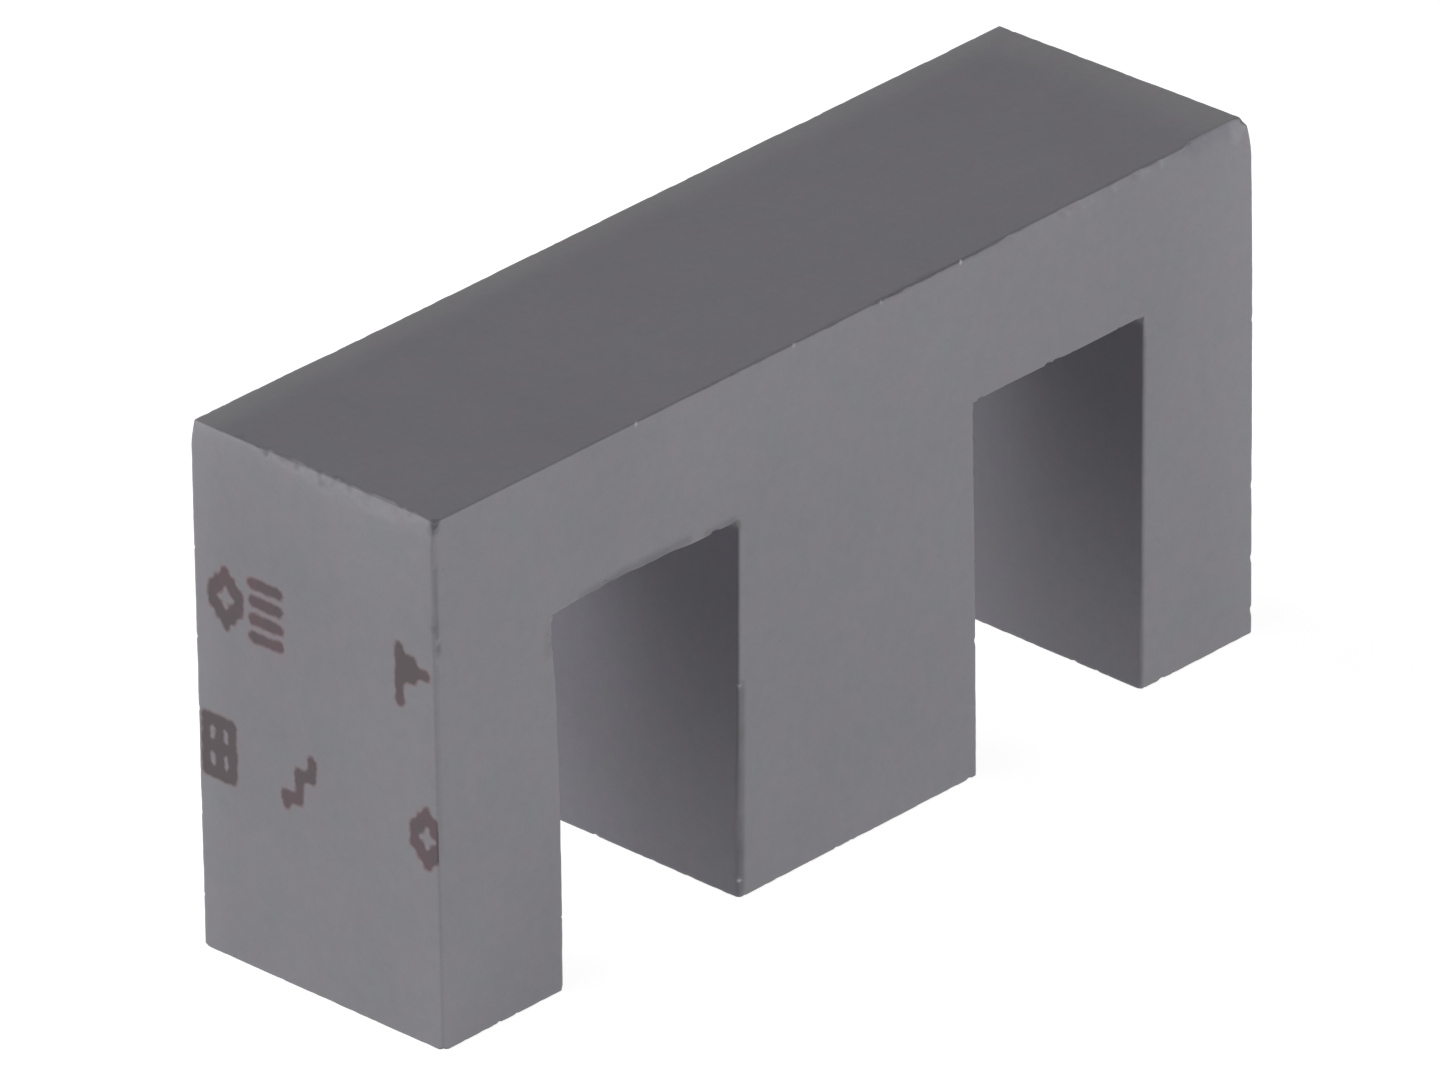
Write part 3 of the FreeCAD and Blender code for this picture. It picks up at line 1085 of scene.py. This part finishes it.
def ink_masks(tree, place, marks, block):
    """Masks of the ink and of its bleed on the left end face."""
    wobble = tree.add("ShaderNodeTexNoise", {"Vector": place, "Scale": 3.2}).outputs["Color"]
    offset = tree.vector("SUBTRACT", wobble, (0.5, 0.5, 0.5))
    offset = tree.vector("MULTIPLY", offset, (0.0, INK_WOBBLE, INK_WOBBLE))
    parts = tree.parts(tree.vector("ADD", place, offset))
    pitch_across, pitch_up = marks.dot_across * MM, marks.dot_up * MM
    total = 0.0
    for motifs, from_rear, line in STAMPS:
        start = (block.half_depth - from_rear) / pitch_across
        foot = getattr(marks, line) * MM / pitch_up
        across = tree.line(parts["Y"], -1 / pitch_across, start - 0.5)
        up = tree.line(parts["Z"], 1 / pitch_up, -foot - 0.5)
        total = tree.math("MAXIMUM", total, dot_field(tree, across, up, motifs))
    grain = tree.noise(place, 9.0, detail=3.0, roughness=0.7)
    frayed = tree.line(tree.minus(grain, 0.5), 0.24, total)
    inwards = tree.math("ADD", tree.parts(place)["X"], block.half_length)
    on_end = tree.smooth(inwards, *INK_DEPTH, 1.0, 0.0)
    masks = (tree.smooth(frayed, 0.08, 0.58), tree.smooth(frayed, 0.0, 0.20))
    return [tree.times(mask, on_end) for mask in masks]


# Painted light and shade in the windows: paler at the legs' ends, darker and bluer towards the
# ceilings. What their walls' colour is multiplied by at the legs' ends and at the ceilings, and
# from which height to which share of the ceiling's it goes over. A place counts as in a window
# from this far behind a face to this far.
WINDOW_FOOT = (1.03, 1.01, 1.06)
WINDOW_CEILING = (0.955, 0.93, 1.01)
WINDOW_LOW, WINDOW_HIGH = 2.0, 0.9
WINDOW_SKIN = (0.20, 0.04)
# Painted light and shade between two values of X. In the windows the left one's inner wall is the
# paler of the two that face left, and outside them the right leg is paler than the left one.
WINDOW_ALONG = (-6.0, 13.0, 1.06, 0.965)
OUTSIDE_ALONG = (-14.0, 15.0, 0.99, 1.04)
# How bright the left end is between two heights that are measured from the back: painted light
# makes it paler towards its crown.
LEFT_END_UP = (-4.0, -0.5, 1.0, 1.08)


def fired_colour(tree, base, mottling, grain, painted_light_tint):
    """A face's colour with the kiln's and the grain's changes of tone and hue, and with painted
    light that pales it towards the right end and the rear edge.
    """
    dark, bright = ([part * tone for part in base] for tone in (0.965, 1.035))
    shaded = tree.mix(tree.smooth(mottling["Broad"], 0.30, 0.70), dark, bright)
    cold, warm = (0.970, 1.004, 1.0), (1.030, 0.988, 1.018)
    shaded = tree.tint(shaded, tree.mix(tree.smooth(mottling["Hue"], 0.35, 0.65), cold, warm))
    # Painted light: paler towards the right end and the rear edge.
    shaded = tree.tint(shaded, tree.mix(mottling["Pale"], (1.0, 1.0, 1.0), painted_light_tint))
    return tree.tint(shaded, tree.times(tree.line(mottling["Cloud"], 0.12, 0.94), grain["Tone"]))


def painted_light_and_shade(tree, block, place):
    """The painted light and shade that the colour is multiplied by in the windows, and outside
    them.
    """
    parts = tree.parts(place)
    up = tree.smooth(parts["Z"], WINDOW_LOW, WINDOW_HIGH * block.ceiling)
    tint = tree.mix(up, WINDOW_FOOT, WINDOW_CEILING)
    tint = tree.tint(tint, tree.smooth(parts["X"], *WINDOW_ALONG))
    inside = 1.0
    for axis, face in (("X", block.half_length), ("Y", block.half_depth)):
        away = tree.math("ABSOLUTE", parts[axis])
        deep, shallow = (face - skin for skin in WINDOW_SKIN)
        inside = tree.times(inside, tree.smooth(away, deep, shallow, 1.0, 0.0))
    return tree.mix(inside, tree.smooth(parts["X"], *OUTSIDE_ALONG), tint)


# How a face looks by how it was made, and the painted light on it: which colour it has and how
# much paler painted light makes it towards the right end and the rear edge, its grain's share of
# the middling size and its contrast, how far in millimetres the pale line of dust and painted
# sheen reaches in from an edge, how much of the break's colour pores and breaks show, how deep
# its relief is in millimetres, and how much it mirrors.
PRESSED_LOOK = {
    "colour": "pressed_colour", "painted_light_tint": (1.12, 1.12, 1.11), "grain": 1.0, "contrast": 0.16,
    "rub": 0.16, "pores": 0.35, "breaks": 0.6, "relief": 0.006, "mirror": 0.5,
}
GROUND_LOOK = {
    "colour": "ground_colour", "painted_light_tint": (1.34, 1.37, 1.24), "grain": 0.8, "contrast": 0.13,
    "rub": 0.10, "pores": 0.5, "breaks": 0.4, "relief": 0.0035, "mirror": 0.3,
}
# How much of the pale edge line's colour, partly dust and partly painted sheen, and of the ink
# bleed's colour shows, and how much smoother the ink is.
DUST_AND_SHEEN_SHARE = 0.06
BLEED_SHARE = 0.85
INK_SMOOTHING = 0.08
BUMP_STRENGTH = 0.6
FERRITE_IOR = 1.6


def ferrite(name, settings, block, effects):
    """The ferrite of the as-fired faces, of those that the grinder cut, which are the back and
    the ends of the legs, or of the end face that has the ink."""
    ground, marked = name == MATERIALS[GROUND], name == MATERIALS[MARKED]
    look = GROUND_LOOK if ground else PRESSED_LOOK
    finish = settings.ferrite_finish
    material = bpy.data.materials.new(name)
    tree = cleared(material)
    place = tree.millimetres()
    grain = tree.group(effects["grain"], {
        "Place": place, "Grain": finish.grain_size * MM * look["grain"],
        "Contrast": look["contrast"],
    })
    mottling = tree.group(effects["mottling"], {
        "Place": place, "Half length": block.half_length, "Half depth": block.half_depth,
    })
    rub = tree.group(effects["rub"], {"Place": place, "Reach": look["rub"]})

    base = fired_colour(tree, getattr(finish, look["colour"]), mottling, grain, look["painted_light_tint"])
    height = grain["Height"]
    if ground:
        # The wheel runs along the back and leaves fine lines in its own direction.
        lines, hair = (
            tree.noise(tree.vector("MULTIPLY", place, (along, across, 1.0)), 1.0, *rest)
            for along, across, *rest in ((0.16, 7.0, 3.0, 0.6), (0.5, 26.0, 1.0))
        )
        base = tree.tint(base, tree.line(tree.minus(lines, 0.5), 0.10, 1.0))
        roughness = tree.line(lines, 0.14, 0.42)
        height = tree.line(hair, 0.8, tree.line(height, 0.5, lines))
    else:
        roughness = tree.line(mottling["Cloud"], 0.12, 0.44)
    # Painted sheen and pale dust: a paler line beside the edges.
    base = tree.mix(tree.times(rub["Rubbed"], DUST_AND_SHEEN_SHARE), base, finish.dust_and_sheen_colour)
    if marked:
        # Painted light: the left end paler towards its crown.
        below_back = tree.minus(tree.parts(place)["Z"], block.height)
        base = tree.tint(base, tree.smooth(below_back, *LEFT_END_UP))
        ink, bleed = ink_masks(tree, place, settings.ink_marks, block)
        base = tree.mix(tree.times(bleed, BLEED_SHARE), base, finish.ink_bleed)
        thin = tree.smooth(mottling["Cloud"], 0.42, 0.62)
        base = tree.mix(ink, base, tree.mix(thin, finish.ink_colour, finish.ink_thin))
        roughness = tree.minus(roughness, tree.times(ink, INK_SMOOTHING))
    elif not ground:
        # Painted shade in the windows, and painted light towards the right leg outside them.
        base = tree.tint(base, painted_light_and_shade(tree, block, place))

    base = tree.mix(tree.times(grain["Pores"], look["pores"]), base, finish.broken_colour)
    base = tree.mix(tree.times(rub["Broken"], look["breaks"]), base, finish.broken_colour)
    # Dark streaks along the edges: dirt, and painted shade of chip floors and rounded edges.
    base = tree.mix(tree.attribute("soil"), base, finish.dirt_and_shade_colour)
    # Painted highlights: bright specks on the edges.
    base = tree.mix(tree.attribute("glint"), base, finish.painted_glint_colour)
    relief = {"Strength": BUMP_STRENGTH, "Distance": look["relief"] / MM, "Height": height}
    shader = tree.add("ShaderNodeBsdfPrincipled", {
        "Base Color": base, "Roughness": roughness, "IOR": FERRITE_IOR,
        "Specular IOR Level": look["mirror"],
        "Normal": tree.add("ShaderNodeBump", relief).outputs[0],
    })
    tree.add("ShaderNodeOutputMaterial", {"Surface": shader.outputs[0]})
    return material


# ---------------------------------------------------------------- studio


# The camera stands this far, in metres, to the left of the line to the core's middle and below.
OFF_SIDE, OFF_DOWN = 0.000313, 0.000331
SENSOR_WIDTH = 36.0
CLIP_START, CLIP_END = 0.01, 20.0

# Each softbox: its azimuth and elevation in degrees. All have one distance and size, and look
# at the middle of the legs.
SOFTBOXES = {"rear_softbox": (-150, 35), "left_softbox": (-108, 12), "front_softbox": (10, 8)}
SOFTBOX_DISTANCE = 0.55
SOFTBOX_SIZE = (0.4, 0.3)
SOFTBOX_TARGET = Vector((0, 0, 0.006))

# How far the floor reaches, how far below the legs' ends it lies, and the glow that whitens it.
FLOOR_REACH = 1.5
FLOOR_BELOW = 0.00002
WHITENING = 0.64


def add_object(scene, name, data, matrix=None):
    thing = bpy.data.objects.new(name, data)
    thing.matrix_world = matrix or Matrix()
    scene.collection.objects.link(thing)
    return thing


def direction(azimuth, elevation):
    """The way from the core to what stands at that turn from the front and that height."""
    level = math.cos(elevation)
    return Vector((
        math.sin(azimuth) * level, -math.cos(azimuth) * level, math.sin(elevation)
    ))


def aim(back, roll=0.0):
    """The turn of a lamp or camera whose back points that way."""
    right = Vector((0, 0, 1)).cross(back).normalized()
    up = back.cross(right)
    turned_right = right * math.cos(roll) + up * math.sin(roll)
    turned_up = up * math.cos(roll) - right * math.sin(roll)
    return Matrix((turned_right, turned_up, back)).transposed()


def place_camera(scene, studio):
    """The photograph's camera, which looks along a line through the middle of the core and
    stands a little beside that line, as the framing asks."""
    back = direction(studio.camera_azimuth, studio.camera_elevation)
    turn = aim(back, studio.camera_roll)
    position = Vector((0, 0, scene.core_block.overall_height / 2)) + back * studio.camera_distance
    position -= turn.col[0] * OFF_SIDE + turn.col[1] * OFF_DOWN
    data = bpy.data.cameras.new("photo_camera")
    data.sensor_width = SENSOR_WIDTH
    data.lens = studio.lens
    data.clip_start, data.clip_end = CLIP_START, CLIP_END
    matrix = Matrix.Translation(position) @ turn.to_4x4()
    scene.camera = add_object(scene, "photo_camera", data, matrix)


def place_softboxes(scene, studio):
    for name, angles in SOFTBOXES.items():
        back = direction(*map(math.radians, angles))
        data = bpy.data.lights.new(name, "AREA")
        data.shape = "RECTANGLE"
        data.size, data.size_y = SOFTBOX_SIZE
        data.energy = getattr(studio, name)
        position = SOFTBOX_TARGET + SOFTBOX_DISTANCE * back
        add_object(scene, name, data, Matrix.Translation(position) @ aim(back).to_4x4())


def seen_by_eye_or_mirror(tree):
    """Whether a ray comes from the camera, a mirror image or through glass."""
    path = tree.add("ShaderNodeLightPath").outputs
    either = tree.math("MAXIMUM", path["Is Camera Ray"], path["Is Glossy Ray"])
    return tree.math("MAXIMUM", either, path["Is Transmission Ray"])


def floor_material(studio):
    """A pale floor that looks white where the light is full, and keeps the core's shadow."""
    material = bpy.data.materials.new("studio_floor")
    tree = cleared(material)
    strength = tree.line(seen_by_eye_or_mirror(tree), WHITENING, studio.table_glow)
    shaders = (
        tree.add("ShaderNodeBsdfDiffuse", {"Color": studio.floor_colour}),
        tree.add("ShaderNodeEmission", {"Color": (1.0, 1.0, 1.0), "Strength": strength}),
    )
    both = tree.add("ShaderNodeAddShader", enumerate(shader.outputs[0] for shader in shaders))
    # From below, the floor isn't there, so that the underside can be looked at.
    under = tree.add("ShaderNodeMixShader", {
        0: tree.add("ShaderNodeNewGeometry").outputs["Backfacing"],
        1: both.outputs[0],
        2: tree.add("ShaderNodeBsdfTransparent").outputs[0],
    })
    tree.add("ShaderNodeOutputMaterial", {"Surface": under.outputs[0]})
    return material


def room_world(studio):
    """A white room to the eye, and even, milder light to the surfaces."""
    world = bpy.data.worlds.new("studio_room")
    tree = cleared(world)
    seen = seen_by_eye_or_mirror(tree)
    background = tree.add("ShaderNodeBackground", {
        "Color": (1.0, 1.0, 1.0),
        "Strength": tree.line(seen, 1.0 - studio.room_light, studio.room_light),
    })
    tree.add("ShaderNodeOutputWorld", {"Surface": background.outputs[0]})
    return world


# ---------------------------------------------------------------- operators and panel


class FERRITE_OT_worn_core(bpy.types.Operator):
    """Builds the worn core and lets it stand for the CAD block"""

    bl_idname = "ferrite.worn_core"
    bl_label = "Worn Core"

    def execute(self, context):
        scene = context.scene
        block = Block(scene.core_block)
        mesh = worn_core_mesh(block, scene.edge_wear)
        effects = {
            "grain": effect("Fired Grain", {"Grain": 0.09, "Contrast": 0.1}, fired_grain),
            "mottling": effect(
                "Kiln Mottling", {"Half length": 16.2, "Half depth": 4.5}, mottling_and_painted_light
            ),
            "rub": effect("Edge Rub", {"Reach": 0.3}, edge_breaks_and_sheen),
        }
        for name in MATERIALS:
            mesh.materials.append(ferrite(name, scene, block, effects))
        piece = add_object(scene, PIECE, mesh)
        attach(piece, BODY)
        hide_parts(NODE)
        return {"FINISHED"}


class FERRITE_OT_studio(bpy.types.Operator):
    """Builds the pale floor, the lamps and the photograph's camera"""

    bl_idname = "ferrite.studio"
    bl_label = "Studio"

    def execute(self, context):
        scene = context.scene
        studio = scene.photo_studio
        mesh = bpy.data.meshes.new("studio_floor")
        ways = ((-1, -1), (1, -1), (1, 1), (-1, 1))
        corners = [(x * FLOOR_REACH, y * FLOOR_REACH, -FLOOR_BELOW) for x, y in ways]
        mesh.from_pydata(corners, [], [(0, 1, 2, 3)])
        mesh.materials.append(floor_material(studio))
        floor = add_object(scene, "studio_floor", mesh)
        scene.world = room_world(studio)
        place_softboxes(scene, studio)
        place_camera(scene, studio)
        scene.view_settings.view_transform = "Standard"
        return {"FINISHED"}


OPERATORS = (FERRITE_OT_worn_core, FERRITE_OT_studio)


class FERRITE_PT_core(bpy.types.Panel):
    """Sizes, wear, finish and studio of the ferrite core"""

    bl_idname = "FERRITE_PT_core"
    bl_label = "Ferrite Core"
    bl_space_type = "VIEW_3D"
    bl_region_type = "UI"
    bl_category = "Ferrite Core"

    def draw(self, context):
        for name, group in GROUPS.items():
            box = self.layout.box()
            box.label(text=name.replace("_", " ").capitalize())
            for entry in group.__annotations__:
                box.prop(getattr(context.scene, name), entry)
        for operator in OPERATORS:
            self.layout.operator(operator.bl_idname)


CLASSES = (*GROUPS.values(), *OPERATORS, FERRITE_PT_core)


def register():
    for entry in CLASSES:
        bpy.utils.register_class(entry)
    for name, group in GROUPS.items():
        setattr(bpy.types.Scene, name, PointerProperty(type=group))


def unregister():
    for name in GROUPS:
        delattr(bpy.types.Scene, name)
    for entry in reversed(CLASSES):
        bpy.utils.unregister_class(entry)


def main():
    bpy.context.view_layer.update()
    register()
    bpy.ops.ferrite.worn_core()
    bpy.ops.ferrite.studio()


if __name__ == "__main__":
    main()
